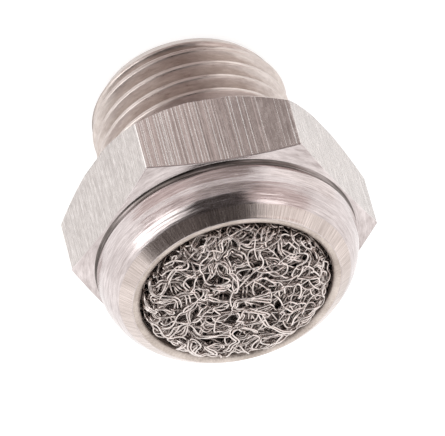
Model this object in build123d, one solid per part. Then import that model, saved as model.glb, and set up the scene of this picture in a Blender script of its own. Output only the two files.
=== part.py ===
from build123d import *
import math
import os

# Pneumatic exhaust silencer with a pressed wire-knit pad, in millimetres.
# Origin: on the axis, in the plane of the hexagon's sealing face.
# +Z runs along the axis towards the pad; the threaded stem points along -Z.

# Hexagon bar stock
across_flats = 13.0
corner_radius = across_flats / math.sqrt(3)
hexagon_height = 4.05            # sealing face to the collar shoulder
seat_chamfer_radius = 6.57       # where the sealing-side chamfer starts
seat_chamfer_angle = 42.0        # degrees from the sealing face
shoulder_radius = 6.30           # where the collar-side slope starts
shoulder_angle = 15.0            # degrees below the shoulder plane
turning_margin = 0.1             # how far the turned outline passes the corners

# Male pipe thread G 1/8 (parallel, Whitworth form)
thread_major = 9.728
thread_pitch = 0.907
thread_depth = 0.640327 * thread_pitch
thread_round = 0.137329 * thread_pitch
thread_flank_angle = 27.5        # degrees, half of the 55 degree form
thread_crest_land = 0.05         # narrow flat left on top of each crest
thread_crest_z = -2.776          # height of one crest on the +X side
stem_length = 6.10               # sealing face to the stem's end face
stem_chamfer_length = 0.90
stem_chamfer_depth = 0.60
relief_width = 1.95              # undercut between the thread and the hexagon
relief_radius = 4.15
relief_slope = 0.70              # axial length of the undercut's tapered side

# Air passage and pad cup
inlet_radius = 3.10
inlet_chamfer = 0.25
cup_radius = 5.70
cup_floor_z = 1.60

# Collar, bulged and rolled in over the pad
bulge_centre_radius = 3.80       # centre of the collar's round section
bulge_centre_z = 4.39
bulge_radius = 2.60
bulge_start_z = 4.42             # where the collar's neck meets the bulge
neck_foot = (6.30, 4.25)         # narrowest point of the collar, above the shoulder fillet
neck_fillet_middle = (6.347, 4.101)
neck_fillet_radius = 6.47        # where the shoulder fillet meets the shoulder
roll_start_angle = 44.0          # degrees up the bulge, where the rolled band starts
roll_end_angle = 57.0            # degrees up the bulge, at the lip's outer edge
roll_flat = 0.015                # how much flatter the rolled band is than the bulge
lip_crest = (4.95, 6.685)
lip_inner_top = (4.76, 6.60)
lip_face_drop = 0.06             # how far below that the lip's inner face begins
throat_radius = 4.72
cavity_roll_radius = 1.90        # inside of the rolled wall
cavity_top_z = 7.0

# Pressed wire-knit pad, folded in plies
ply_count = 8
pad_clearance = 0.02
pad_neck_radius = 4.60           # pad where it passes the lip
pad_swell = (4.55, 6.81)         # the dome's edge turns in here
pad_shoulder = (4.43, 7.00)
pad_shoulder_top = (4.26, 7.14)
pad_cap_edge = (4.00, 7.27)
pad_top_z = 7.62
first_ply_thickness = 0.74       # at the axis
top_seam_droop = 0.62            # how far the highest seam would droop at the wall
droop_growth = 1.5               # power by which the droop grows from seam to seam
cutter_margin = 1.0              # how far cutting solids pass what they cut


def on_circle(centre, radius, angle):
    """Point (r, z) on a section circle, the angle in degrees up from the radial direction."""
    turn = math.radians(angle)
    return (centre[0] + radius * math.cos(turn), centre[1] + radius * math.sin(turn))


def revolved(*edges):
    """Solid of revolution about Z from the closed outline of edges drawn in (r, z)."""
    outline = Plane.XZ * make_face(Curve() + list(edges))
    return revolve(outline, Axis.Z)


def shoulder_z(radius):
    """Height of the sloping collar shoulder at a radius."""
    return hexagon_height - (radius - shoulder_radius) * math.tan(math.radians(shoulder_angle))


def turned_outline():
    """Outside of the hexagon's chamfers, the shoulder, the bulged collar and its rolled lip."""
    limit = corner_radius + turning_margin
    seat_rise = (limit - seat_chamfer_radius) * math.tan(math.radians(seat_chamfer_angle))
    centre = (bulge_centre_radius, bulge_centre_z)
    start_angle = math.degrees(math.asin((bulge_start_z - bulge_centre_z) / bulge_radius))
    bulge_start = on_circle(centre, bulge_radius, start_angle)
    bulge_middle = on_circle(centre, bulge_radius, (start_angle + roll_start_angle) / 2)
    roll_start = on_circle(centre, bulge_radius, roll_start_angle)
    roll_middle = on_circle(centre, bulge_radius - roll_flat, (roll_start_angle + roll_end_angle) / 2)
    roll_end = on_circle(centre, bulge_radius, roll_end_angle)
    fillet_foot = (neck_fillet_radius, shoulder_z(neck_fillet_radius))
    lip_face_z = lip_inner_top[1] - lip_face_drop
    return revolved(
        Polyline((0, 0), (seat_chamfer_radius, 0), (limit, seat_rise), (limit, shoulder_z(limit)),
                 fillet_foot),
        ThreePointArc(fillet_foot, neck_fillet_middle, neck_foot),
        Line(neck_foot, bulge_start),
        ThreePointArc(bulge_start, bulge_middle, roll_start),
        ThreePointArc(roll_start, roll_middle, roll_end),
        ThreePointArc(roll_end, lip_crest, lip_inner_top),
        Polyline(lip_inner_top, (throat_radius, lip_face_z), (0, lip_face_z), (0, 0)),
    )


def head():
    """Hexagon bar turned down to the chamfers, collar and lip."""
    bar = extrude(RegularPolygon(across_flats / 2, 6, major_radius=False), cavity_top_z)
    return bar & turned_outline()


def stem_blank():
    """Threaded stem before the thread is cut, with its end chamfer and undercut."""
    major = thread_major / 2
    inside_hexagon = hexagon_height / 4
    return revolved(Polyline(
        (0, inside_hexagon), (relief_radius, inside_hexagon), (relief_radius, -relief_width + relief_slope),
        (major, -relief_width), (major, -stem_length + stem_chamfer_length),
        (major - stem_chamfer_depth, -stem_length), (0, -stem_length), (0, inside_hexagon)))


def groove_section(base_z):
    """Section of the Whitworth groove in (r, z), with rounded root and crest edges."""
    major = thread_major / 2
    root = major - thread_depth
    flank = math.radians(thread_flank_angle)
    half_land = (thread_pitch - thread_crest_land) / 2
    drop = thread_round * (1 - math.sin(flank))
    flank_top = half_land - thread_round * math.cos(flank)
    flank_foot = flank_top - (thread_depth - 2 * drop) * math.tan(flank)
    half_turn = (math.pi / 2 - flank) / 2
    crest_bend = (major - thread_round * (1 - math.cos(half_turn)),
                  half_land - thread_round * math.sin(half_turn))

    def at(radius, height):
        return Vector(radius, 0, base_z + height)

    edges = [Edge.make_line(at(major + thread_round, -half_land), at(major + thread_round, half_land)),
             Edge.make_three_point_arc(at(root + drop, flank_foot), at(root, 0),
                                       at(root + drop, -flank_foot))]
    for side in (1, -1):
        edges += [
            Edge.make_line(at(major + thread_round, side * half_land), at(major, side * half_land)),
            Edge.make_three_point_arc(at(major, side * half_land), at(crest_bend[0], side * crest_bend[1]),
                                      at(major - drop, side * flank_top)),
            Edge.make_line(at(major - drop, side * flank_top), at(root + drop, side * flank_foot))]
    return Face(Wire(edges))


def cut_thread(blank):
    """Cut the helical groove one turn at a time, run out past both ends of the thread."""
    base_z = thread_crest_z - thread_pitch / 2
    base_z -= thread_pitch * math.ceil((base_z + stem_length) / thread_pitch)
    while base_z - thread_pitch / 2 < -relief_width:
        path = Pos(0, 0, base_z) * Helix(thread_pitch, thread_pitch, thread_major / 2)
        blank = blank - sweep(groove_section(base_z), path=path, is_frenet=True)
        base_z += thread_pitch
    return blank


def air_passage():
    """Inlet bore with its mouth chamfer, and the cup that holds the pad."""
    centre = (bulge_centre_radius, bulge_centre_z)
    throat_angle = math.degrees(math.acos((throat_radius - centre[0]) / cavity_roll_radius))
    roll_foot = on_circle(centre, cavity_roll_radius, 0)
    roll_middle = on_circle(centre, cavity_roll_radius, throat_angle / 2)
    throat = on_circle(centre, cavity_roll_radius, throat_angle)
    below = -stem_length - cutter_margin
    return revolved(
        Polyline((0, below), (inlet_radius + inlet_chamfer, below),
                 (inlet_radius + inlet_chamfer, -stem_length), (inlet_radius, -stem_length + inlet_chamfer),
                 (inlet_radius, cup_floor_z), (cup_radius, cup_floor_z), roll_foot),
        ThreePointArc(roll_foot, roll_middle, throat),
        Polyline(throat, (throat_radius, cavity_top_z), (0, cavity_top_z), (0, below)),
    )


def silencer_body():
    """One-piece body: stem, hexagon and collar with the wall rolled over the pad."""
    return cut_thread(stem_blank()) + head() - air_passage()


def pad():
    """Whole pad: it fills the cup, passes the lip and bulges above it as a dome."""
    centre = (bulge_centre_radius, bulge_centre_z)
    wall = cavity_roll_radius - pad_clearance
    neck_angle = math.degrees(math.acos((pad_neck_radius - centre[0]) / wall))
    foot = on_circle(centre, wall, 0)
    middle = on_circle(centre, wall, neck_angle / 2)
    neck = on_circle(centre, wall, neck_angle)
    neck_top = (pad_neck_radius, lip_inner_top[1])
    cap_sag = pad_top_z - pad_cap_edge[1]
    cap_radius = (pad_cap_edge[0] ** 2 + cap_sag ** 2) / (2 * cap_sag)
    half = pad_cap_edge[0] / 2
    cap_middle = (half, pad_top_z - cap_radius + math.sqrt(cap_radius ** 2 - half ** 2))
    return revolved(
        Polyline((0, cup_floor_z), (foot[0], cup_floor_z), foot),
        ThreePointArc(foot, middle, neck),
        Line(neck, neck_top),
        ThreePointArc(neck_top, pad_swell, pad_shoulder),
        ThreePointArc(pad_shoulder, pad_shoulder_top, pad_cap_edge),
        ThreePointArc(pad_cap_edge, cap_middle, (0, pad_top_z)),
        Line((0, pad_top_z), (0, cup_floor_z)),
    )


def ply_seam(index):
    """Height at the axis and droop at the wall of the seam under ply number index."""
    spacing = (pad_top_z - cup_floor_z - first_ply_thickness) / (ply_count - 1)
    height = cup_floor_z + first_ply_thickness + spacing * (index - 1)
    return height, top_seam_droop * (index / ply_count) ** droop_growth


def below_seam(index):
    """Everything under one domed seam, as a solid wide enough to cut the pad."""
    height, sag = ply_seam(index)
    reach = cup_radius + cutter_margin
    sphere_radius = (reach ** 2 + sag ** 2) / (2 * sag)
    half = reach / 2
    middle = (half, height - sphere_radius + math.sqrt(sphere_radius ** 2 - half ** 2))
    edge = (reach, height - sag)
    floor = cup_floor_z - cutter_margin
    return revolved(
        ThreePointArc((0, height), middle, edge),
        Polyline(edge, (reach, floor), (0, floor), (0, height)),
    )


def plies():
    """The pad's pressed plies from the cup floor up, as separate solids."""
    whole = pad()
    result = {}
    for index in range(ply_count):
        ply = whole
        if index < ply_count - 1:
            ply = ply & below_seam(index + 1)
        if index > 0:
            ply = ply - below_seam(index)
        result[f"knit_ply_{index + 1}"] = ply
    return result


nodes = {"silencer_body": silencer_body(), **plies()}

os.makedirs("parts", exist_ok=True)
for name, shape in nodes.items():
    export_step(shape, f"parts/{name}.step")
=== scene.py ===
import math

import bmesh
import bpy
import numpy as np
from mathutils import Matrix, Vector


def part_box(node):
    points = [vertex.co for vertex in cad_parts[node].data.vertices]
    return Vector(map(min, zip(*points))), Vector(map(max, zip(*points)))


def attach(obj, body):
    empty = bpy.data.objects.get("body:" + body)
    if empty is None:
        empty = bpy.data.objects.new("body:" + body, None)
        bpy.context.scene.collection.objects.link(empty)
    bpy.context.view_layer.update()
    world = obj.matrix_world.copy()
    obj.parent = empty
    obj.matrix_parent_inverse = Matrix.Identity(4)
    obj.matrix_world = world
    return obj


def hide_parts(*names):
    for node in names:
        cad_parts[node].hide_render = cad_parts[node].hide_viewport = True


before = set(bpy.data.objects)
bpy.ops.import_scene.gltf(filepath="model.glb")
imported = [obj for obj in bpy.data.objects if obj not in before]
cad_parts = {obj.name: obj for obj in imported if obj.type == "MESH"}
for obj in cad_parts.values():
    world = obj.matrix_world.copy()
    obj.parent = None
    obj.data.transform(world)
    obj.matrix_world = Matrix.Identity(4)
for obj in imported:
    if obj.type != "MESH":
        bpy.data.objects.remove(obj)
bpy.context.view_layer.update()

MM = 0.001
body_low, body_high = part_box("silencer_body")
dome_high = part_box("knit_ply_8")[1]
cup_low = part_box("knit_ply_1")[0]

# ---------------------------------------------------------------- body sizes, in millimetres

APOTHEM = body_high.y / MM                  # half of the width across flats
STEM_END_Z = body_low.z / MM
CUP_FLOOR_Z = cup_low.z / MM
PAD_TOP_Z = dome_high.z / MM

HEXAGON_HEIGHT = 4.05
SEAT_CHAMFER_RADIUS = 6.57
SEAT_CHAMFER_SLOPE = math.tan(math.radians(42))
SHOULDER_RADIUS = 6.30
SHOULDER_SLOPE = math.tan(math.radians(15))
CORNER_RADIUS = APOTHEM / math.cos(math.radians(30))
CORNER_ROUND = 0.09                         # softened vertical edges of the hexagon
EDGE_ROUND = 0.022                          # softened turned edges
LATHE_MARK_DEPTH = 0.0022                   # height of the waves left by the turning tool

TURNED, DRAWN, ROLLED, LIP, BORED, THREAD, CREVICE, LINED = range(8)    # material slots of the body
LINED_FLATS = (1, 4)                        # back and front flats; number 0 follows +X

THREAD_MAJOR = 4.864                        # radius
THREAD_PITCH = 0.907
THREAD_DEPTH = 0.640327 * THREAD_PITCH
THREAD_ROUND = 0.137329 * THREAD_PITCH
THREAD_FLANK = math.radians(27.5)
THREAD_LAND = 0.05
THREAD_CREST_Z = -2.776                     # height of one crest on the +X side
STEM_CHAMFER = (0.60, 0.90)                 # radial and axial size
RELIEF_RADIUS = 4.15
RELIEF_LOW_Z = -1.95                        # where the full thread ends
RELIEF_TOP_Z = -1.25                        # where the undercut's slope ends

INLET_RADIUS = 3.10
INLET_CHAMFER = 0.25
CUP_RADIUS = 5.70

BULGE_CENTRE = (3.80, 4.39)
BULGE_RADIUS = 2.60
CAVITY_ROLL_RADIUS = 1.90
NECK_FOOT = (6.30, 4.25)
NECK_FILLET_MIDDLE = (6.347, 4.101)
NECK_FILLET_RADIUS = 6.47
BULGE_START_Z = 4.42
ROLL_START = math.radians(44)
ROLL_END = math.radians(57)
ROLL_FLAT = 0.015                           # how much flatter the rolled band is than the bulge
LIP_CREST = (4.95, 6.685)
LIP_INNER_TOP = (4.76, 6.60)
THROAT_RADIUS = 4.72

# ---------------------------------------------------------------- pad sizes, in millimetres

WIRE_RADIUS = 0.049
WIRE_MARGIN = 0.004                         # least depth of a wire's skin under the pad's outside
WIRE_SIDES = 5
WIRE_STEP = 0.10                            # distance between the rings of a wire's mesh
CURL_STEP = 0.04
SHORTEST_RUN = 6                            # rings in the shortest piece of wire kept
KNIT_SHARE = 0.45                           # share of the top ply's strands that are rows of loops
DOME_PLY_DEPTH = 0.62                       # range of depths at which the top ply's strands lie
FIRST_DEPTH = 0.06                          # depth of its outermost strands
DEEPEST = 1.1                               # most that a strand may go down
WEAVE_DEPTH = 0.075                         # how far a strand goes over and under its neighbours
TUCK_DEPTH = 0.22                           # how far a strand's ends go down among the others
TUCK_LENGTH = 0.45
WIRE_END_Z = 5.9                            # height under the lip at which the top ply's wires stop
WIRE_END_RADIUS = 4.3                       # they stop farther from the axis than this
COVER_CELL = 0.22                           # cells in which the strands over each other are counted
COVER_REACH = 7.0
USEFUL_REACH = 6.2                          # points past this reach are out of sight under the lip
BUNDLES = (1, 1, 1, 1, 1, 1, 1, 2, 2)       # numbers of strands that run side by side
BUNDLE_GAP = 0.14
CANDIDATES = 7                              # strands tried for each one kept
DOME_SHEETS = 6                             # crumpled sheets of knit from which the top ply's rows come
INNER_LAYERS = 4                            # sheets of knit in each inner ply
DOME_BUDGET = 19000                         # rings of wire in the top ply
UNDER_DOME_BUDGET = 9000
INNER_BUDGET = 6000
PLY_COUNT = 8
PAD_NECK_RADIUS = 4.60
PAD_SHOULDER = (4.43, 7.00)
PAD_SHOULDER_TOP = (4.26, 7.14)
PAD_SWELL = (4.55, 6.81)
PAD_CAP_EDGE = (4.00, 7.27)
PAD_CLEARANCE = 0.02
TOP_SEAM_DROOP = 0.62
DROOP_GROWTH = 1.5
FIRST_PLY = 0.74

# ---------------------------------------------------------------- studio and camera

SHADE_TINT = (1.0, 0.855, 0.825, 1)
REFLECTOR_TINT = (1.0, 0.97, 0.95, 1)
TENT_TINT = (1.0, 0.985, 0.975, 1)
TENT_BRIGHTNESS = 1.25
FLOOR_GLOW = 0.62
FLOOR_GAP = 0.01                            # millimetres, so that the stem's end isn't in the floor's plane
FLOOR_REACH = 3000.0                        # millimetres from the axis to the floor's sides
PANEL_DISTANCE = 150.0                      # millimetres from the part to the cards and lights
SQUARE = ((-1, -1), (1, -1), (1, 1), (-1, 1))

VIEW_AZIMUTH = math.radians(-9.87)          # turn of the line of sight from +Y towards +X
VIEW_ELEVATION = math.radians(40.67)
VIEW_ROLL = math.radians(-164.7)
FOCAL_LENGTHS_PER_WIDTH = 18.06             # focal length over the picture's width
CAMERA_PLACE = (50.143, -289.666, 254.537)  # millimetres


# ---------------------------------------------------------------- mesh helpers

def new_object(name, vertices, faces, materials, face_slots=None, smooth=True):
    mesh = bpy.data.meshes.new(name)
    mesh.from_pydata((np.asarray(vertices) * MM).tolist(), [], faces)
    for material in materials:
        mesh.materials.append(material)
    if face_slots is not None:
        mesh.polygons.foreach_set("material_index", face_slots)
    mesh.polygons.foreach_set("use_smooth", [smooth] * len(mesh.polygons))
    mesh.update()
    obj = bpy.data.objects.new(name, mesh)
    bpy.context.collection.objects.link(obj)
    return obj


def arc_points(start, middle, end, count):
    """Points of the circle through three (r, z) points, from start to end."""
    (ax, ay), (bx, by), (cx, cy) = start, middle, end
    d = 2 * (ax * (by - cy) + bx * (cy - ay) + cx * (ay - by))
    a2, b2, c2 = ax * ax + ay * ay, bx * bx + by * by, cx * cx + cy * cy
    ox = (a2 * (by - cy) + b2 * (cy - ay) + c2 * (ay - by)) / d
    oy = (a2 * (cx - bx) + b2 * (ax - cx) + c2 * (bx - ax)) / d
    radius = math.hypot(ax - ox, ay - oy)
    angles = [math.atan2(y - oy, x - ox) for x, y in (start, middle, end)]
    angles = np.unwrap(angles)
    turn = np.linspace(angles[0], angles[2], count)
    return np.column_stack([ox + radius * np.cos(turn), oy + radius * np.sin(turn)])


def on_circle(centre, radius, angle):
    return (centre[0] + radius * math.cos(angle), centre[1] + radius * math.sin(angle))


# ---------------------------------------------------------------- turned body

def column_angles():
    """Angles of the mesh columns: every degree, and closer together at the hexagon's corners."""
    angles = set(np.round(np.arange(0, 360, 1.0), 4))
    for corner in range(0, 360, 60):
        for offset in (-0.6, -0.36, -0.22, -0.08, 0.08, 0.22, 0.36, 0.6):
            angles.add(round((corner + offset) % 360, 4))
    return np.radians(np.array(sorted(angles)))


def hexagon_radius(phi):
    """Distance from the axis to the hexagon, with its corners rounded a little."""
    from_flat = phi % math.radians(60) - math.radians(30)
    plain = APOTHEM / np.cos(from_flat)
    to_corner = math.radians(30) - np.abs(from_flat)
    along = plain * np.sin(to_corner)                   # distance from the corner across its bisector
    reach = CORNER_ROUND * math.cos(math.radians(60))
    drop = CORNER_ROUND / math.cos(math.radians(30)) - CORNER_ROUND
    centre = CORNER_RADIUS - drop - CORNER_ROUND
    rounded = centre * np.cos(to_corner) + np.sqrt(
        np.maximum(CORNER_ROUND ** 2 - (centre * np.sin(to_corner)) ** 2, 0))
    return np.where(along < reach, np.minimum(plain, rounded), plain)


def shoulder_z(radius):
    return HEXAGON_HEIGHT - (radius - SHOULDER_RADIUS) * SHOULDER_SLOPE


def rounded_outline(points, count, size=EDGE_ROUND, support=0.05):
    """Rows of a polyline whose inner corners are rounded, each row an array over the columns."""
    points = [(np.zeros(count) + r, np.zeros(count) + z) for r, z in points]
    rows = [points[0]]
    for before, corner, after in zip(points, points[1:], points[2:]):
        back = [before[i] - corner[i] for i in (0, 1)]
        ahead = [after[i] - corner[i] for i in (0, 1)]
        back_length = np.hypot(*back) + 1e-9
        ahead_length = np.hypot(*ahead) + 1e-9
        cut = np.minimum(size, 0.4 * np.minimum(back_length, ahead_length))
        guard_back = np.minimum(cut + support, 0.45 * back_length)
        guard_ahead = np.minimum(cut + support, 0.45 * ahead_length)
        first = [corner[i] + back[i] * cut / back_length for i in (0, 1)]
        last = [corner[i] + ahead[i] * cut / ahead_length for i in (0, 1)]
        rows.append([corner[i] + back[i] * guard_back / back_length for i in (0, 1)])
        rows.append(first)
        for t in (0.3, 0.7):
            rows.append([(1 - t) ** 2 * first[i] + 2 * t * (1 - t) * corner[i] + t * t * last[i]
                         for i in (0, 1)])
        rows.append(last)
        rows.append([corner[i] + ahead[i] * guard_ahead / ahead_length for i in (0, 1)])
    rows.append(points[-1])
    return rows


def lathe_marks(path, rng, depth):
    """Fine turning grooves: pushes the points of a section outline in and out along its normals."""
    along = np.concatenate([[0], np.cumsum(np.hypot(*np.diff(path, axis=0).T))])
    push = np.zeros(len(path))
    for wavelength, share in ((0.74, 2.4), (0.43, 1.6), (0.26, 1.0), (0.15, 0.6)):
        phase = rng.uniform(0, 2 * math.pi)
        swell = 0.6 + 0.4 * np.sin(2 * math.pi * along / 1.7 + rng.uniform(0, 6.3))
        push += share * swell * np.sin(2 * math.pi * along / wavelength + phase)
    tangent = np.gradient(path, axis=0)
    tangent /= np.linalg.norm(tangent, axis=1)[:, None]
    normal = np.column_stack([tangent[:, 1], -tangent[:, 0]])
    fade = np.clip(np.minimum(along, along[-1] - along) / 0.12, 0, 1)
    return path + normal * (push * depth * fade)[:, None]


def hexagon_rows(phi):
    """(points, slot) runs from the undercut over the hexagon to the collar's shoulder."""
    edge = hexagon_radius(phi)
    seat_edge = np.minimum(SEAT_CHAMFER_RADIUS, edge)
    chamfer_z = np.maximum(edge - SEAT_CHAMFER_RADIUS, 0) * SEAT_CHAMFER_SLOPE
    hexagon = rounded_outline([
        (RELIEF_RADIUS, RELIEF_TOP_Z), (RELIEF_RADIUS, 0), (seat_edge, 0), (edge, chamfer_z),
        (edge, shoulder_z(edge)), (NECK_FILLET_RADIUS, shoulder_z(NECK_FILLET_RADIUS))], len(phi))
    flat = slice(14, 20)                                # rows of the upright flat
    return [(hexagon[:flat.start], TURNED), (hexagon[flat], DRAWN), (hexagon[flat.stop:], TURNED)]


def collar_rows():
    """(points, slot) runs up the bulged collar and its rolled band, over the lip and down its face."""
    fillet_start = (NECK_FILLET_RADIUS, shoulder_z(NECK_FILLET_RADIUS))
    fillet = arc_points(fillet_start, NECK_FILLET_MIDDLE, NECK_FOOT, 9)
    start_angle = math.asin((BULGE_START_Z - BULGE_CENTRE[1]) / BULGE_RADIUS)
    turns = np.linspace(start_angle, ROLL_START, 64)
    collar = np.array([NECK_FOOT] + [on_circle(BULGE_CENTRE, BULGE_RADIUS, t) for t in turns])
    collar = lathe_marks(collar, np.random.default_rng(11), LATHE_MARK_DEPTH)
    band = []
    for turn in np.linspace(ROLL_START, ROLL_END, 9):
        share = (turn - ROLL_START) / (ROLL_END - ROLL_START)
        band.append(on_circle(BULGE_CENTRE, BULGE_RADIUS - ROLL_FLAT * math.sin(math.pi * share), turn))
    lip_start = on_circle(BULGE_CENTRE, BULGE_RADIUS, ROLL_END)
    lip = arc_points(lip_start, LIP_CREST, LIP_INNER_TOP, 14)
    face = [(THROAT_RADIUS + 0.012, LIP_INNER_TOP[1] - 0.03), (THROAT_RADIUS, LIP_INNER_TOP[1] - 0.08),
            (THROAT_RADIUS, LIP_INNER_TOP[1] - 0.3)]
    # the fillet and the collar's first row take the crevice material, which paints shade into the crease
    return [(fillet[1:-1], CREVICE), (collar[:1], CREVICE), (collar[1:], TURNED), (band, ROLLED),
            (lip[:4], ROLLED), (lip[4:], LIP), (face, LIP)]


def cup_rows():
    """(points, slot) runs under the rolled wall, down the cup and over its floor to the bore."""
    throat_angle = math.acos((THROAT_RADIUS - BULGE_CENTRE[0]) / CAVITY_ROLL_RADIUS)
    roof = [on_circle(BULGE_CENTRE, CAVITY_ROLL_RADIUS, t) for t in np.linspace(throat_angle, 0, 9)]
    cup = [(CUP_RADIUS, CUP_FLOOR_Z + 0.3), (CUP_RADIUS, CUP_FLOOR_Z),
           (CUP_RADIUS - 0.05, CUP_FLOOR_Z), (INLET_RADIUS + 0.05, CUP_FLOOR_Z),
           (INLET_RADIUS, CUP_FLOOR_Z), (INLET_RADIUS, CUP_FLOOR_Z - 0.05)]
    return [(roof, BORED), (cup, BORED)]


def upper_rows(phi):
    """Rows from the undercut up over the hexagon, the collar and the lip, down into the cup."""
    runs = hexagon_rows(phi) + collar_rows() + cup_rows()
    return [(row[0] + 0 * phi, row[1] + 0 * phi, slot) for points, slot in runs for row in points]


def lower_rows(phi):
    """Rows from the cup's floor down the inlet bore and out to the foot of the thread's chamfer."""
    end = STEM_END_Z
    outer = THREAD_MAJOR - STEM_CHAMFER[0]
    outline = rounded_outline([
        (INLET_RADIUS, CUP_FLOOR_Z - 0.05), (INLET_RADIUS, end + INLET_CHAMFER),
        (INLET_RADIUS + INLET_CHAMFER, end), (outer, end)], len(phi), size=0.03)
    return [(row[0], row[1], BORED) for row in outline]


def thread_profile(height):
    """Radius of the endless Whitworth section at a height measured from a crest's middle."""
    pitch_part = np.abs((height + THREAD_PITCH / 2) % THREAD_PITCH - THREAD_PITCH / 2)
    root = THREAD_MAJOR - THREAD_DEPTH
    drop = THREAD_ROUND * (1 - math.sin(THREAD_FLANK))
    land = THREAD_LAND / 2
    flank_top = land + THREAD_ROUND * math.cos(THREAD_FLANK)
    flank_foot = flank_top + (THREAD_DEPTH - 2 * drop) * math.tan(THREAD_FLANK)
    on_crest = np.clip(pitch_part - land, 0, flank_top - land)
    radius = THREAD_MAJOR - THREAD_ROUND + np.sqrt(np.maximum(THREAD_ROUND ** 2 - on_crest ** 2, 0))
    on_flank = np.clip(pitch_part - flank_top, 0, None)
    flank = THREAD_MAJOR - drop - on_flank / math.tan(THREAD_FLANK)
    radius = np.where(pitch_part > flank_top, flank, radius)
    half_root = THREAD_PITCH / 2 - flank_foot
    root_round = (half_root ** 2 + drop ** 2) / (2 * drop)
    from_root = THREAD_PITCH / 2 - pitch_part
    hollow = root + root_round - np.sqrt(np.maximum(root_round ** 2 - from_root ** 2, 0))
    return np.where(pitch_part > flank_foot, hollow, radius)


def thread_offsets():
    """Heights of the mesh rows within one pitch, at the section's own features."""
    land = THREAD_LAND / 2
    drop = THREAD_ROUND * (1 - math.sin(THREAD_FLANK))
    flank_top = land + THREAD_ROUND * math.cos(THREAD_FLANK)
    flank_foot = flank_top + (THREAD_DEPTH - 2 * drop) * math.tan(THREAD_FLANK)
    half = [land] + [land + THREAD_ROUND * math.sin(math.radians(a)) for a in (22, 42, 54)]
    half += [flank_top, (flank_top + flank_foot) / 2, flank_foot,
             flank_foot + (THREAD_PITCH / 2 - flank_foot) * 0.4]
    return np.array([-h for h in reversed(half)] + half + [THREAD_PITCH / 2])


def thread_surface(phi):
    """Grid of (r, z) for the threaded stem, its rows following the helix."""
    columns = np.append(phi, 2 * math.pi)
    stem_foot_radius = THREAD_MAJOR - STEM_CHAMFER[0]
    first = math.floor((STEM_END_Z - THREAD_CREST_Z) / THREAD_PITCH) - 2
    last = math.ceil((RELIEF_TOP_Z - THREAD_CREST_Z) / THREAD_PITCH) + 1
    heights = np.concatenate([THREAD_CREST_Z + k * THREAD_PITCH + thread_offsets()
                              for k in range(first, last + 1)])
    z = heights[:, None] + THREAD_PITCH * columns[None, :] / (2 * math.pi)
    z = np.clip(z, STEM_END_Z, RELIEF_TOP_Z)
    radius = thread_profile(z - THREAD_PITCH * columns[None, :] / (2 * math.pi) - THREAD_CREST_Z)
    chamfer = stem_foot_radius + (z - STEM_END_Z) * STEM_CHAMFER[0] / STEM_CHAMFER[1]
    steepness = (THREAD_MAJOR - RELIEF_RADIUS) / (RELIEF_TOP_Z - RELIEF_LOW_Z)
    slope = RELIEF_RADIUS + (RELIEF_TOP_Z - z) * steepness
    return columns, np.minimum(np.minimum(radius, chamfer), slope), z


def grid_faces(row_count, column_count, wraps, base=0):
    """Quads of a grid, facing out when its rows run along the outline given and columns turn about +Z."""
    rows = np.arange(row_count - 1)[:, None]
    columns = np.arange(column_count if wraps else column_count - 1)[None, :]
    ahead = (columns + 1) % column_count if wraps else columns + 1
    a = base + rows * column_count + columns
    b = base + rows * column_count + ahead
    c = base + (rows + 1) * column_count + ahead
    d = base + (rows + 1) * column_count + columns
    return np.stack([a, b, c, d], axis=-1).reshape(-1, 4)


def make_body(materials):
    """The turned piece: its outline round the axis, the bore and the threaded stem as one mesh."""
    phi = column_angles()
    vertices, faces, slots = [], [], []
    lined = np.isin((phi // math.radians(60)).astype(int), LINED_FLATS)

    def add_revolved(rows):
        base = sum(len(v) for v in vertices)
        for r, z, _ in rows:
            vertices.append(np.column_stack([r * np.cos(phi), r * np.sin(phi), z]))
        quads = grid_faces(len(rows), len(phi), True, base)
        faces.append(quads)
        for lower, upper in zip(rows, rows[1:]):
            slot = upper[2] if lower[2] == upper[2] else TURNED
            slots.extend(np.where(lined & (slot == DRAWN), LINED, slot))

    add_revolved(upper_rows(phi))
    add_revolved(lower_rows(phi))
    columns, radius, z = thread_surface(phi)
    base = sum(len(v) for v in vertices)
    grid = np.stack([radius * np.cos(columns), radius * np.sin(columns), z], axis=-1)
    vertices.append(grid.reshape(-1, 3))
    quads = grid_faces(len(radius), len(columns), False, base)
    faces.append(quads)
    slots.extend([THREAD] * len(quads))
    obj = new_object("turned_body", np.concatenate(vertices), np.concatenate(faces).tolist(),
                     materials, slots)
    clean_mesh(obj)
    return obj


def clean_mesh(obj):
    """Joins coinciding points, drops collapsed faces and turns all faces outwards."""
    work = bmesh.new()
    work.from_mesh(obj.data)
    bmesh.ops.remove_doubles(work, verts=work.verts, dist=2e-4 * MM)
    bmesh.ops.dissolve_degenerate(work, edges=work.edges, dist=1e-4 * MM)
    bmesh.ops.recalc_face_normals(work, faces=work.faces)
    work.to_mesh(obj.data)
    work.free()
    obj.data.update()


# ---------------------------------------------------------------- knitted wire pad

def smooth_field(rng, amplitude, wavelength, terms=7):
    """Smooth vector field of the plane: a sum of sine waves in random directions."""
    direction = rng.uniform(0, 2 * math.pi, terms)
    number = 2 * math.pi / (wavelength * rng.uniform(0.7, 1.5, terms))
    waves = np.column_stack([np.cos(direction), np.sin(direction)]) * number[:, None]
    phase = rng.uniform(0, 2 * math.pi, (3, terms))
    weight = rng.normal(0, 1, (3, terms)) * amplitude / math.sqrt(terms / 2)

    def field(points):
        angle = points[:, :2] @ waves.T
        return np.stack([(weight[i] * np.sin(angle + phase[i])).sum(axis=1) for i in range(3)], axis=1)

    return field


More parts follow.
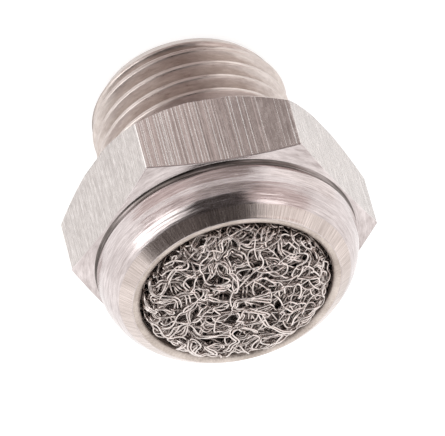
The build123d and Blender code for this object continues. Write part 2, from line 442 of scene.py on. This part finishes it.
def knit_courses(rng, reach, wale, course, loop):
    """Courses of a weft knit in its own plane: each is one wire's line of loops, (x, y, height)."""
    turn = rng.uniform(0, 2 * math.pi)
    shift = rng.uniform(-0.5, 0.5, 2)
    across = np.array([math.cos(turn), math.sin(turn)])
    up = np.array([-across[1], across[0]])
    steps = int(2 * reach / wale * 46)
    t = np.linspace(-reach / wale, reach / wale, steps) * 2 * math.pi
    lines = []
    for row in range(-int(reach / course) - 1, int(reach / course) + 2):
        wobble = 1 + 0.18 * np.sin(t * 0.37 + rng.uniform(0, 6.3))
        wobble += 0.1 * np.sin(t * 0.9 + rng.uniform(0, 6.3))
        lean = rng.normal(0, 0.12)
        x = wale * t / (2 * math.pi) + 0.27 * wale * np.sin(2 * t) + lean * np.cos(t)
        y = row * course + loop * wobble * np.cos(t) + 0.1 * np.sin(t * 0.23 + rng.uniform(0, 6.3))
        height = 0.085 * np.cos(2 * t + 0.6)
        plane = (x[:, None] + shift[0]) * across + (y[:, None] + shift[1]) * up
        lines.append(np.column_stack([plane, height]))
    return lines


def resampled(line, step):
    """The line with evenly spaced points."""
    lengths = np.linalg.norm(np.diff(line, axis=0), axis=1)
    along = np.concatenate([[0], np.cumsum(lengths)])
    if along[-1] < 3 * step:
        return None
    marks = np.linspace(0, along[-1], int(along[-1] / step) + 1)
    return np.column_stack([np.interp(marks, along, line[:, i]) for i in range(3)])


def runs_inside(line, inside):
    """Stretches of the line whose points are all inside."""
    edges = np.flatnonzero(np.diff(np.concatenate([[0], inside.astype(int), [0]])))
    return [line[a:b] for a, b in zip(edges[::2], edges[1::2]) if b - a > 8]


def wire_mesh(name, lines, material, radius=WIRE_RADIUS):
    """One mesh with a round tube along each (line, depth), its ends closed."""
    ring = np.linspace(0, 2 * math.pi, WIRE_SIDES, endpoint=False)
    vertices, faces, depths, base = [], [], [], 0
    for line, depth in lines:
        tangent = np.gradient(line, axis=0)
        tangent /= np.linalg.norm(tangent, axis=1)[:, None] + 1e-12
        side = np.empty_like(line)
        side[0] = np.cross(tangent[0], (0.31, 0.22, 0.92))
        side[0] /= np.linalg.norm(side[0])
        for i in range(1, len(line)):
            turned = side[i - 1] - tangent[i] * (side[i - 1] @ tangent[i])
            side[i] = turned / math.sqrt(turned @ turned)
        other = np.cross(tangent, side)
        tube = (line[:, None, :] + radius * (np.cos(ring)[None, :, None] * side[:, None, :]
                                             + np.sin(ring)[None, :, None] * other[:, None, :]))
        vertices.append(tube.reshape(-1, 3))
        depths.extend([depth] * (len(line) * WIRE_SIDES))
        faces.extend(grid_faces(len(line), WIRE_SIDES, True, base).tolist())
        faces.append(list(range(base + WIRE_SIDES - 1, base - 1, -1)))
        last = base + (len(line) - 1) * WIRE_SIDES
        faces.append(list(range(last, last + WIRE_SIDES)))
        base += len(line) * WIRE_SIDES
    obj = new_object(name, np.concatenate(vertices), faces, [material])
    # the depth attribute sets the painted shade in the wire material
    obj.data.attributes.new("depth", "FLOAT", "POINT").data.foreach_set("value", depths)
    return obj


def seam(index):
    """Height at the axis and droop at the wall of the seam under ply number index."""
    spacing = (PAD_TOP_Z - CUP_FLOOR_Z - FIRST_PLY) / (PLY_COUNT - 1)
    height = CUP_FLOOR_Z + FIRST_PLY + spacing * (index - 1)
    return height, TOP_SEAM_DROOP * (index / PLY_COUNT) ** DROOP_GROWTH


def seam_z(index, radius):
    if index == 0:
        return np.full_like(radius, CUP_FLOOR_Z)
    height, droop = seam(index)
    reach = CUP_RADIUS + 1.0
    sphere = (reach ** 2 + droop ** 2) / (2 * droop)
    return height - sphere + np.sqrt(np.maximum(sphere ** 2 - radius ** 2, 0))


def wall_radius(z):
    """Inside radius of the cup and the rolled wall, where the pad's wires must stay."""
    lift = np.clip(z - BULGE_CENTRE[1], 0, CAVITY_ROLL_RADIUS)
    rolled = BULGE_CENTRE[0] + np.sqrt(CAVITY_ROLL_RADIUS ** 2 - lift ** 2)
    return np.where(z > BULGE_CENTRE[1], np.maximum(rolled, PAD_NECK_RADIUS), CUP_RADIUS) - PAD_CLEARANCE


def dome_outline():
    """The pad's outside from its top over the round edge and down the neck, as dense (r, z) points."""
    sag = PAD_TOP_Z - PAD_CAP_EDGE[1]
    cap = (PAD_CAP_EDGE[0] ** 2 + sag ** 2) / (2 * sag)
    radii = np.linspace(0, PAD_CAP_EDGE[0], 60)
    top = np.column_stack([radii, PAD_TOP_Z - cap + np.sqrt(cap ** 2 - radii ** 2)])
    edge = arc_points(PAD_CAP_EDGE, PAD_SHOULDER_TOP, PAD_SHOULDER, 12)[1:]
    swell = arc_points(PAD_SHOULDER, PAD_SWELL, (PAD_NECK_RADIUS, LIP_INNER_TOP[1]), 12)[1:]
    angle = math.acos((PAD_NECK_RADIUS - BULGE_CENTRE[0]) / (CAVITY_ROLL_RADIUS - PAD_CLEARANCE))
    under = np.array([on_circle(BULGE_CENTRE, CAVITY_ROLL_RADIUS - PAD_CLEARANCE, t)
                      for t in np.linspace(angle, math.radians(30), 14)])
    path = np.concatenate([top, edge, swell, under])
    along = np.concatenate([[0], np.cumsum(np.hypot(*np.diff(path, axis=0).T))])
    marks = np.linspace(0, along[-1], 260)
    path = np.column_stack([np.interp(marks, along, path[:, i]) for i in (0, 1)])
    for _ in range(6):
        path[1:-1] = 0.25 * path[:-2] + 0.5 * path[1:-1] + 0.25 * path[2:]
    return marks, path


def onto_dome(points, depth, outline):
    """Wraps plane points over the dome, each at its depth below the pad's outside."""
    marks, path = outline
    reach = np.hypot(points[:, 0], points[:, 1])
    tangent = np.gradient(path, axis=0)
    tangent /= np.linalg.norm(tangent, axis=1)[:, None]
    radius = np.interp(reach, marks, path[:, 0])
    z = np.interp(reach, marks, path[:, 1])
    normal_r = np.interp(reach, marks, -tangent[:, 1])
    normal_z = np.interp(reach, marks, tangent[:, 0])
    radius = radius - normal_r * depth
    z = z - normal_z * depth
    scale = radius / np.maximum(reach, 1e-9)
    return np.column_stack([points[:, 0] * scale, points[:, 1] * scale, z]), reach


def curly_line(rng, reach, length):
    """One plane wire of changing curvature that passes somewhere in the disc: (x, y, 0) points."""
    steps = int(length / CURL_STEP)
    along = np.arange(steps) * CURL_STEP
    curvature = np.full(steps, rng.normal(0, 0.5))
    for wavelength, strength in ((rng.uniform(2.0, 4.5), rng.uniform(0.2, 1.5)),
                                 (rng.uniform(0.9, 2.0), rng.uniform(0.2, 2.0))):
        curvature += strength * np.sin(2 * math.pi * along / wavelength + rng.uniform(0, 2 * math.pi))
    heading = rng.uniform(0, 2 * math.pi) + np.cumsum(curvature) * CURL_STEP
    path = np.cumsum(np.column_stack([np.cos(heading), np.sin(heading)]) * CURL_STEP, axis=0)
    start = reach * math.sqrt(rng.uniform())
    angle = rng.uniform(0, 2 * math.pi)
    path += start * np.array([math.cos(angle), math.sin(angle)]) - path[steps // 2]
    return np.column_stack([path, np.zeros(steps)])


def beside(strand, offset):
    """The same strand moved sideways by offset, as the next one of a bundle runs."""
    tangent = np.gradient(strand[:, :2], axis=0)
    tangent /= np.linalg.norm(tangent, axis=1)[:, None]
    sideways = np.column_stack([-tangent[:, 1], tangent[:, 0], np.zeros(len(strand))])
    return strand + sideways * offset


def cover_cells(line):
    """Cells of the cover grid that a plane line passes."""
    size = int(2 * COVER_REACH / COVER_CELL)
    cells = np.clip(((line[:, :2] + COVER_REACH) / COVER_CELL).astype(int), 0, size - 1)
    return np.unique(cells[:, 0] * size + cells[:, 1])


def knit_sheets(rng, count):
    """Courses of several crumpled sheets of knit, in one list."""
    courses = []
    for _ in range(count):
        big = smooth_field(rng, 0.25, 2.6)
        small = smooth_field(rng, 0.07, 0.8)
        wale = rng.uniform(0.95, 1.45)
        for course in knit_courses(rng, 7.2, wale, wale * 0.8, wale * 0.62):
            courses.append(course + big(course) * (1, 1, 0) + small(course) * (1, 1, 0))
    return courses


def next_bundle(rng, knit, cover):
    """Of several new strands, the one over the barest part of the pad, with those that run beside it."""
    best, best_cells, least = None, None, math.inf
    for _ in range(CANDIDATES):
        if rng.uniform() < KNIT_SHARE:
            course = knit[rng.integers(len(knit))]
            first = rng.integers(0, len(course) - 150)
            strand = course[first:first + rng.integers(45, 150)]
        else:
            strand = curly_line(rng, 6.0, rng.uniform(1.6, 6.0))
        cells = cover_cells(strand)
        outside = np.mean(np.hypot(strand[:, 0], strand[:, 1]) > USEFUL_REACH)
        load = np.mean(cover[cells]) + 0.5 * outside * cover.max()
        if load < least:
            best, best_cells, least = strand, cells, load
    count = rng.choice(BUNDLES)
    cover[best_cells] += count
    swell = 1 + 0.3 * np.sin(np.linspace(0, rng.uniform(2, 8), len(best)) + rng.uniform(0, 2 * math.pi))
    return [beside(best, (k * BUNDLE_GAP * swell)[:, None]) for k in range(count)]


def woven(strand, depth, wavelength, phase):
    """Depths along a strand that goes over and under its neighbours and hides its ends."""
    along = np.concatenate([[0], np.cumsum(np.hypot(*np.diff(strand[:, :2], axis=0).T))])
    wave = np.sin(2 * math.pi * along / wavelength + phase)
    from_end = np.minimum(along, along[-1] - along)
    tuck = np.clip(1 - from_end / TUCK_LENGTH, 0, 1) ** 2
    depths = depth + WEAVE_DEPTH * wave + strand[:, 2] + TUCK_DEPTH * tuck
    return np.clip(depths, WIRE_RADIUS + WIRE_MARGIN, DEEPEST)


def dome_ply_lines(rng, budget):
    """Wires of the top ply: curly strands among crumpled rows of knit loops, spread evenly."""
    outline = dome_outline()
    from_end = np.abs(outline[1][:, 1] - WIRE_END_Z) + 10 * (outline[1][:, 0] < WIRE_END_RADIUS)
    end_mark = outline[0][np.argmin(from_end)]
    knit = knit_sheets(rng, DOME_SHEETS)
    cover = np.zeros(int(2 * COVER_REACH / COVER_CELL) ** 2)
    lines, total = [], 0
    while total < budget:
        depth = FIRST_DEPTH + DOME_PLY_DEPTH * (total / budget)
        wavelength, phase = rng.uniform(0.8, 2.0), rng.uniform(0, 2 * math.pi)
        for strand in next_bundle(rng, knit, cover):
            shaped, reach = onto_dome(strand, woven(strand, depth, wavelength, phase), outline)
            for run in runs_inside(shaped, reach < end_mark):
                run = resampled(run, WIRE_STEP)
                if run is not None and len(run) > SHORTEST_RUN:
                    lines.append((run, depth / (DOME_PLY_DEPTH + FIRST_DEPTH)))
                    total += len(run)
    return lines


def flat_ply_lines(rng, index, budget):
    """Wires of an inner ply: sheets of knit between two seams, turned up along the cup's wall."""
    lines, total, layer = [], 0, 0
    while total < budget and layer < INNER_LAYERS:
        big = smooth_field(rng, 0.4, 3.0)
        small = smooth_field(rng, 0.1, 1.0)
        wale = rng.uniform(1.3, 1.7)
        share = (layer + 0.5) / INNER_LAYERS
        for course in knit_courses(rng, 7.6, wale, wale * 0.9, wale * 0.66):
            warped = course + big(course) * (1, 1, 0) + small(course) * (1, 1, 0)
            reach = np.hypot(warped[:, 0], warped[:, 1])
            guess = share * seam_z(index + 1, reach) + (1 - share) * seam_z(index, reach)
            wall = wall_radius(guess) - WIRE_RADIUS - 0.01
            squeezed = wall * np.tanh((reach / wall) ** 3) ** (1 / 3)
            low, high = seam_z(index, squeezed), seam_z(index + 1, squeezed)
            z = low + share * (high - low) + warped[:, 2] * 1.1
            z = np.clip(z, low + WIRE_RADIUS, high - WIRE_RADIUS)
            squeezed = np.minimum(squeezed, wall_radius(z + WIRE_RADIUS) - WIRE_RADIUS)
            scale = squeezed / np.maximum(reach, 1e-9)
            shaped = np.column_stack([warped[:, 0] * scale, warped[:, 1] * scale, z])
            for run in runs_inside(shaped, reach < 7.0):
                run = resampled(run, WIRE_STEP)
                if run is not None and len(run) > SHORTEST_RUN and total < budget:
                    # inner plies take the full depth, so their wires get the darkest painted shade
                    lines.append((run, 1.0))
                    total += len(run)
        layer += 1
    return lines


def make_ply(number, material):
    """One ply of wire, number 1 on the cup's floor to PLY_COUNT at the dome."""
    rng = np.random.default_rng(500 + number)
    if number == PLY_COUNT:
        lines = dome_ply_lines(rng, DOME_BUDGET)
    else:
        budget = UNDER_DOME_BUDGET if number == PLY_COUNT - 1 else INNER_BUDGET
        lines = flat_ply_lines(rng, number - 1, budget)
    ply = wire_mesh(f"knitted_wire_{number}", lines, material)
    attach(ply, "root")
    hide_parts(f"knit_ply_{number}")
    return ply


# ---------------------------------------------------------------- materials

class Nodes:
    """Short ways to add and link shader nodes."""

    def __init__(self, name):
        self.material = bpy.data.materials.new(name)
        self.material.use_nodes = True
        self.tree = self.material.node_tree
        self.shader = self.tree.nodes["Principled BSDF"]
        self.position = self.tree.nodes.new("ShaderNodeTexCoord").outputs["Object"]

    def value(self, sockets):
        for name, value in sockets.items():
            self.shader.inputs[name].default_value = value

    def link(self, output, socket):
        self.tree.links.new(output, self.shader.inputs[socket])

    def math(self, operation, first, second=0.0):
        node = self.tree.nodes.new("ShaderNodeMath")
        node.operation = operation
        for socket, value in zip(node.inputs, (first, second)):
            if isinstance(value, (int, float)):
                socket.default_value = value
            else:
                self.tree.links.new(value, socket)
        return node.outputs[0]

    def split(self, vector):
        node = self.tree.nodes.new("ShaderNodeSeparateXYZ")
        self.tree.links.new(vector, node.inputs[0])
        return node.outputs

    def vector(self, x, y, z):
        node = self.tree.nodes.new("ShaderNodeCombineXYZ")
        for socket, value in zip(node.inputs, (x, y, z)):
            if isinstance(value, (int, float)):
                socket.default_value = value
            else:
                self.tree.links.new(value, socket)
        return node.outputs[0]

    def scaled(self, vector, scale):
        """The vector in cells: scale is the number of cells per metre along X, Y and Z."""
        node = self.tree.nodes.new("ShaderNodeVectorMath")
        node.operation = "MULTIPLY"
        self.tree.links.new(vector, node.inputs[0])
        node.inputs[1].default_value = scale
        return node.outputs[0]

    def noise(self, vector, detail=2.0, roughness=0.5):
        node = self.tree.nodes.new("ShaderNodeTexNoise")
        self.tree.links.new(vector, node.inputs["Vector"])
        node.inputs["Scale"].default_value = 1.0
        node.inputs["Detail"].default_value = detail
        node.inputs["Roughness"].default_value = roughness
        return node.outputs["Fac"]

    def ramp(self, factor, stops):
        node = self.tree.nodes.new("ShaderNodeValToRGB")
        self.tree.links.new(factor, node.inputs[0])
        ramp = node.color_ramp
        while len(ramp.elements) < len(stops):
            ramp.elements.new(0.5)
        for element, (place, colour) in zip(ramp.elements, stops):
            element.position = place
            element.color = (*colour, 1)
        return node.outputs[0]

    def to_range(self, factor, low, high, start=0.25, end=0.75):
        """Low where the factor is at start or under, high where it is at end or over."""
        node = self.tree.nodes.new("ShaderNodeMapRange")
        self.tree.links.new(factor, node.inputs["Value"])
        for socket, value in (("From Min", start), ("From Max", end), ("To Min", low), ("To Max", high)):
            node.inputs[socket].default_value = value
        return node.outputs["Result"]

    def bump(self, height, distance_mm, strength=1.0, after=None):
        node = self.tree.nodes.new("ShaderNodeBump")
        self.tree.links.new(height, node.inputs["Height"])
        node.inputs["Distance"].default_value = distance_mm * MM
        node.inputs["Strength"].default_value = strength
        if after is not None:
            self.tree.links.new(after, node.inputs["Normal"])
        return node.outputs["Normal"]


# colour of the painted highlight on the hexagon's corners
CORNER_HIGHLIGHT = (0.96, 0.94, 0.92)
# colours of the painted shade in the crease at the collar's foot
CREVICE_PAINTED_SHADE = (0.08, 0.068, 0.063)
CREVICE_PAINTED_HALF_SHADE = (0.18, 0.157, 0.148)
STEEL_DARK = (0.48, 0.437, 0.42)
STEEL = (0.60, 0.555, 0.535)
STEEL_LIGHT = (0.74, 0.69, 0.67)
TURNED_DARK = (0.41, 0.358, 0.352)
TURNED_LIGHT = (0.77, 0.705, 0.70)
ROLLED_DARK = (0.40, 0.34, 0.315)
ROLLED_LIGHT = (0.76, 0.675, 0.64)
THREAD_DARK = (0.47, 0.405, 0.375)
THREAD_LIGHT = (0.74, 0.675, 0.64)
LIP_COLOURS = ((0.44, 0.38, 0.34), (0.60, 0.53, 0.485), (0.74, 0.67, 0.62))
# the darkest wire colours are painted shade for wires deep in the pad
WIRE_COLOURS = ((0.10, 0.08, 0.07), (0.36, 0.31, 0.29), (0.72, 0.65, 0.62), (0.84, 0.78, 0.75))
PLAIN_FLAT = 0.89                           # lightness factors of the flats against the STEEL colours; the front and back flats are painted lighter than the other four, a painted light for the dim reflection in front
LINED_FLAT = 1.14


def steel(name, line_scale, roughness, bump_mm, dark=STEEL_DARK, light=STEEL_LIGHT, directions=False):
    """Stainless steel whose tool marks are noise stretched by line_scale, in cells per millimetre."""
    n = Nodes(name)
    n.value({"Metallic": 1.0})
    source = n.position
    if directions:
        x, y, z = n.split(n.position)
        radius = n.math("SQRT", n.math("ADD", n.math("MULTIPLY", x, x), n.math("MULTIPLY", y, y)))
        source = n.vector(n.math("MULTIPLY", n.math("DIVIDE", x, radius), MM),
                          n.math("MULTIPLY", n.math("DIVIDE", y, radius), MM), z)
    lines = n.noise(n.scaled(source, [s / MM for s in line_scale]), 3.0, 0.6)
    fine = n.noise(n.scaled(source, [s / MM * 2.7 for s in line_scale]), 2.0, 0.6)
    mottle = n.noise(n.scaled(n.position, [0.45 / MM] * 3), 2.0)
    both = n.math("ADD", n.math("MULTIPLY", lines, 0.6), n.math("MULTIPLY", fine, 0.4))
    tone = n.math("ADD", n.math("MULTIPLY", both, 0.75), n.math("MULTIPLY", mottle, 0.25))
    middle = tuple((a + b) / 2 for a, b in zip(dark, light))
    n.link(n.ramp(tone, [(0.36, dark), (0.5, middle), (0.64, light)]), "Base Color")
    n.link(n.to_range(both, roughness[0], roughness[1]), "Roughness")
    n.link(n.bump(both, bump_mm), "Normal")
    return n.material


def crevice_shade_material():
    """Foot of the collar, painted near-black in noisy patches: painted shade for the crease between
    shoulder and collar.
    """
    n = Nodes("crevice_painted_shade_steel")
    n.value({"Metallic": 1.0})
    marks = n.noise(n.scaled(n.position, (0.6 / MM, 0.6 / MM, 14 / MM)), 3.0, 0.6)
    shade_patches = n.noise(n.scaled(n.position, [0.35 / MM] * 3), 2.0)
    tone = n.math("ADD", n.math("MULTIPLY", marks, 0.5), n.math("MULTIPLY", shade_patches, 0.5))
    # painted shade: the crease at the collar's foot is coloured dark in patches
    n.link(n.ramp(tone, [(0.40, CREVICE_PAINTED_SHADE), (0.52, CREVICE_PAINTED_HALF_SHADE), (0.66, TURNED_DARK)]), "Base Color")
    n.link(n.to_range(marks, 0.22, 0.36), "Roughness")
    n.link(n.bump(marks, 0.003), "Normal")
    return n.material


def drawn_material(name, lined, painted_lightness):
    """Flat of the drawn bar, its tones scaled by a painted lightness, with a painted highlight along its
    corners that grows towards +X; a lined one has deep lines along the bar.
    """
    n = Nodes(name)
    n.value({"Metallic": 1.0})
    wide = n.noise(n.scaled(n.position, (4.5 / MM, 4.5 / MM, 0.03 / MM)), 1.0, 0.5)
    thin = n.noise(n.scaled(n.position, (15 / MM, 15 / MM, 0.05 / MM)), 1.0, 0.5)
    keen = n.noise(n.scaled(n.position, (14 / MM, 14 / MM, 0.03 / MM)), 0.0, 0.5)
    hair = n.noise(n.scaled(n.position, (24 / MM, 24 / MM, 0.6 / MM)), 1.0, 0.5)
    grain = n.noise(n.scaled(n.position, (7 / MM, 7 / MM, 2.5 / MM)), 1.0, 0.5)
    lines = n.math("ADD", n.math("MULTIPLY", wide, 0.45), n.math("MULTIPLY", thin, 0.55))
    tone = n.math("ADD", n.math("MULTIPLY", hair, 0.6), n.math("MULTIPLY", grain, 0.4))
    if lined:
        crowd = n.to_range(n.split(n.position)[0], -0.08, 0.10, -2.5 * MM, 2.5 * MM)
        scratch = n.to_range(n.math("ADD", keen, crowd), 0.0, 1.0, 0.63, 0.72)
        dark_line = n.to_range(keen, 0.16, 0.0, 0.28, 0.40)
        tone = n.math("SUBTRACT", tone, dark_line)
        tone = n.math("ADD", n.math("MULTIPLY", tone, 0.55), n.math("MULTIPLY", lines, 0.52))
        tone = n.math("ADD", tone, n.math("MULTIPLY", scratch, 0.26))
    x, y, _ = n.split(n.scaled(n.position, [1 / MM] * 3))
    radius = n.math("SQRT", n.math("ADD", n.math("MULTIPLY", x, x), n.math("MULTIPLY", y, y)))
    # painted highlight: the corners are coloured near-white, more towards +X
    corner = n.to_range(radius, 0.0, 0.35, CORNER_RADIUS - 0.055, CORNER_RADIUS - 0.025)
    highlight_towards_x = n.to_range(x, 0.15, 1.0, -3.0, 0.0)
    tone = n.math("ADD", tone, n.math("MULTIPLY", corner, highlight_towards_x))
    # painted light: the front and back flats' tones are lifted by a larger lightness factor
    tones = [tuple(painted_lightness * c for c in colour) for colour in (STEEL_DARK, STEEL, STEEL_LIGHT)]
    stops = [(0.34, tones[0]), (0.5, tones[1]), (0.64, tones[2]), (0.8, CORNER_HIGHLIGHT)]
    n.link(n.ramp(tone, stops), "Base Color")
    n.link(n.to_range(grain, 0.18, 0.32), "Roughness")
    relief = n.bump(lines, 0.04)
    if lined:
        relief = n.bump(scratch, 0.03, after=relief)
    n.link(relief, "Normal")
    return n.material


def wire_material():
    """Drawn wire, its colour painted darker deeper in the pad as painted shade."""
    n = Nodes("stainless_wire")
    n.value({"Metallic": 1.0})
    depth = n.tree.nodes.new("ShaderNodeAttribute")
    depth.attribute_name = "depth"
    patches = n.noise(n.scaled(n.position, [1.3 / MM] * 3), 2.0)
    drawn = n.noise(n.scaled(n.position, [22 / MM] * 3), 2.0)
    depth_shade = depth.outputs["Fac"]
    # painted shade: the colour darkens with the wire's depth in the pad
    tone = n.math("SUBTRACT", n.math("MULTIPLY", patches, 0.5), n.math("MULTIPLY", depth_shade, 0.5))
    shade = n.math("ADD", tone, 0.55)
    n.link(n.ramp(shade, list(zip((0.0, 0.35, 0.65, 1.0), WIRE_COLOURS))), "Base Color")
    n.link(n.to_range(drawn, 0.10, 0.22), "Roughness")
    n.link(n.bump(drawn, 0.003), "Normal")
    return n.material


def lip_material():
    """Dull, finely pitted edge of the rolled wall."""
    n = Nodes("rolled_lip_edge")
    n.value({"Metallic": 1.0})
    grain = n.noise(n.scaled(n.position, [9 / MM] * 3), 3.0, 0.6)
    tone = n.noise(n.scaled(n.position, [0.6 / MM] * 3), 2.0)
    both = n.math("ADD", n.math("MULTIPLY", tone, 0.5), n.math("MULTIPLY", grain, 0.5))
    n.link(n.ramp(both, list(zip((0.38, 0.5, 0.62), LIP_COLOURS))), "Base Color")
    n.link(n.to_range(grain, 0.42, 0.62), "Roughness")
    n.link(n.bump(grain, 0.006), "Normal")
    return n.material


# ---------------------------------------------------------------- studio

def make_floor():
    """Large pale light table under the stem's end face."""
    z = STEM_END_Z - FLOOR_GAP
    corners = [(x * FLOOR_REACH, y * FLOOR_REACH, z) for x, y in SQUARE]
    n = Nodes("pale_floor")
    tone = n.noise(n.scaled(n.position, [20, 20, 20]), 2.0)
    n.link(n.ramp(tone, [(0.3, (0.50, 0.50, 0.50)), (0.7, (0.52, 0.52, 0.52))]), "Base Color")
    n.value({"Roughness": 0.9, "Specular IOR Level": 0.1, "Emission Color": (1, 1, 1, 1),
             "Emission Strength": FLOOR_GLOW})
    floor = new_object("floor", corners, [[0, 1, 2, 3]], [n.material], smooth=False)


def make_world():
    world = bpy.data.worlds.new("studio_tent")
    world.use_nodes = True
    background = world.node_tree.nodes["Background"]
    background.inputs["Color"].default_value = TENT_TINT
    background.inputs["Strength"].default_value = TENT_BRIGHTNESS
    bpy.context.scene.world = world
    bpy.context.scene.view_settings.view_transform = "Standard"


def direction(azimuth, elevation):
    """Unit vector; azimuth in degrees from +X towards +Y, elevation in degrees above the floor."""
    a, e = math.radians(azimuth), math.radians(elevation)
    return Vector((math.cos(a) * math.cos(e), math.sin(a) * math.cos(e), math.sin(e)))


def facing_centre(azimuth, elevation):
    """Rotation of a panel whose face looks at the origin, its sides level and upright."""
    towards = -direction(azimuth, elevation)
    return towards.to_track_quat("-Z", "Y")


def glossy_only(obj):
    """Studio cards show in the metal's reflections alone."""
    obj.visible_camera = False
    obj.visible_diffuse = False
    obj.visible_shadow = False


def card_material(name, brightness):
    """Shades are warm, reflectors and anything brighter than the tent are white."""
    n = Nodes(name)
    tint = SHADE_TINT if brightness < 0.9 else REFLECTOR_TINT
    n.value({"Base Color": (0, 0, 0, 1), "Roughness": 1.0, "Specular IOR Level": 0.0,
             "Emission Color": tint, "Emission Strength": brightness})
    return n.material


def make_panel(name, azimuth, elevation, width, height, brightness):
    """Card round the part, placed and sized in degrees as seen from the part."""
    half_w = PANEL_DISTANCE * math.tan(math.radians(width / 2))
    half_h = PANEL_DISTANCE * math.tan(math.radians(height / 2))
    turn = facing_centre(azimuth, elevation)
    middle = direction(azimuth, elevation) * PANEL_DISTANCE
    corners = [middle + turn @ Vector((x * half_w, y * half_h, 0)) for x, y in SQUARE]
    card = new_object(name, [tuple(c) for c in corners], [[0, 1, 2, 3]], [card_material(name, brightness)],
                      smooth=False)
    glossy_only(card)


def make_floor_card(name, x_range, y_range, brightness):
    """Card lying on the floor, its sides in millimetres."""
    z = STEM_END_Z + 0.05
    (x0, x1), (y0, y1) = x_range, y_range
    corners = [(x0, y0, z), (x1, y0, z), (x1, y1, z), (x0, y1, z)]
    card = new_object(name, corners, [[0, 1, 2, 3]], [card_material(name, brightness)], smooth=False)
    glossy_only(card)


def make_softbox(name, azimuth, elevation, width, height, brightness):
    """Area light of a given surface brightness, placed and sized in degrees as seen from the part."""
    light = bpy.data.lights.new(name, "AREA")
    light.shape = "RECTANGLE"
    light.size = 2 * PANEL_DISTANCE * MM * math.tan(math.radians(width / 2))
    light.size_y = 2 * PANEL_DISTANCE * MM * math.tan(math.radians(height / 2))
    light.energy = brightness * math.pi * light.size * light.size_y
    obj = bpy.data.objects.new(name, light)
    obj.location = direction(azimuth, elevation) * (PANEL_DISTANCE * 0.98) * MM
    obj.rotation_mode = "QUATERNION"
    obj.rotation_quaternion = facing_centre(azimuth, elevation)
    obj.visible_camera = False
    bpy.context.collection.objects.link(obj)


def make_studio():
    """Cards and lights; a panel takes azimuth, elevation, width, height and brightness."""
    make_world()
    make_floor()
    make_panel("camera_opening", -86, 50, 50, 72, 0.05)
    make_panel("side_flag", -35, 55, 60, 38, 0.11)
    make_panel("left_shade", -138, 22, 50, 44, 0.80)
    make_panel("right_shade", -46, 2, 54, 24, 0.62)
    make_floor_card("front_flag_left", (-1.5, 9), (-26, -10), 0.60)
    make_floor_card("front_flag_right", (-10, -1.5), (-26, -10), 0.36)
    make_floor_card("front_flag_far", (-16, 15), (-64, -26), 0.46)
    make_floor_card("stem_shade", (-2.2, 4), (-10, -4.9), 0.55)
    make_floor_card("stem_reflector", (-5.5, -2.2), (-10, -4.9), 1.5)
    make_panel("front_shade", -96, 0, 56, 24, 0.36)
    make_floor_card("left_reflector", (-60, -14), (-30, 2), 1.3)
    make_floor_card("right_reflector", (9, 40), (-40, -9), 0.80)
    make_softbox("right_softbox", -27, 19, 40, 17, 1.9)
    make_softbox("left_softbox", -135, 38, 18, 9, 1.9)


def make_camera():
    data = bpy.data.cameras.new("camera")
    data.sensor_width = 36.0
    data.lens = FOCAL_LENGTHS_PER_WIDTH * data.sensor_width
    data.clip_start = 10 * MM
    data.clip_end = 20.0
    camera = bpy.data.objects.new("camera", data)
    bpy.context.collection.objects.link(camera)
    forward = Vector((math.sin(VIEW_AZIMUTH) * math.cos(VIEW_ELEVATION),
                      math.cos(VIEW_AZIMUTH) * math.cos(VIEW_ELEVATION), -math.sin(VIEW_ELEVATION)))
    right = forward.cross(Vector((0, 0, 1))).normalized()
    up = right.cross(forward)
    turned_up = up * math.cos(VIEW_ROLL) + right * math.sin(VIEW_ROLL)
    turned_right = forward.cross(turned_up)
    place = Vector(CAMERA_PLACE) * MM
    rotation = Matrix((turned_right, turned_up, -forward)).transposed()
    camera.matrix_world = Matrix.Translation(place) @ rotation.to_4x4()
    bpy.context.scene.camera = camera


# ---------------------------------------------------------------- assembly

make_camera()
make_studio()

body_materials = [
    steel("turned_steel", (0.7, 0.7, 13.0), (0.12, 0.30), 0.006, TURNED_DARK, TURNED_LIGHT),
    drawn_material("drawn_steel", False, PLAIN_FLAT),
    steel("rolled_steel", (75.0, 75.0, 0.8), (0.21, 0.29), 0.0006, ROLLED_DARK, ROLLED_LIGHT,
          directions=True),
    lip_material(),
    steel("bored_steel", (0.2, 0.2, 7.0), (0.25, 0.45), 0.003),
    steel("thread_steel", (1.1, 1.1, 10.0), (0.24, 0.40), 0.002, THREAD_DARK, THREAD_LIGHT),
    crevice_shade_material(),
    drawn_material("drawn_lined_steel", True, LINED_FLAT),
]
body = make_body(body_materials)
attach(body, "root")
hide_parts("silencer_body")

wire = wire_material()
for number in range(1, PLY_COUNT + 1):
    make_ply(number, wire)
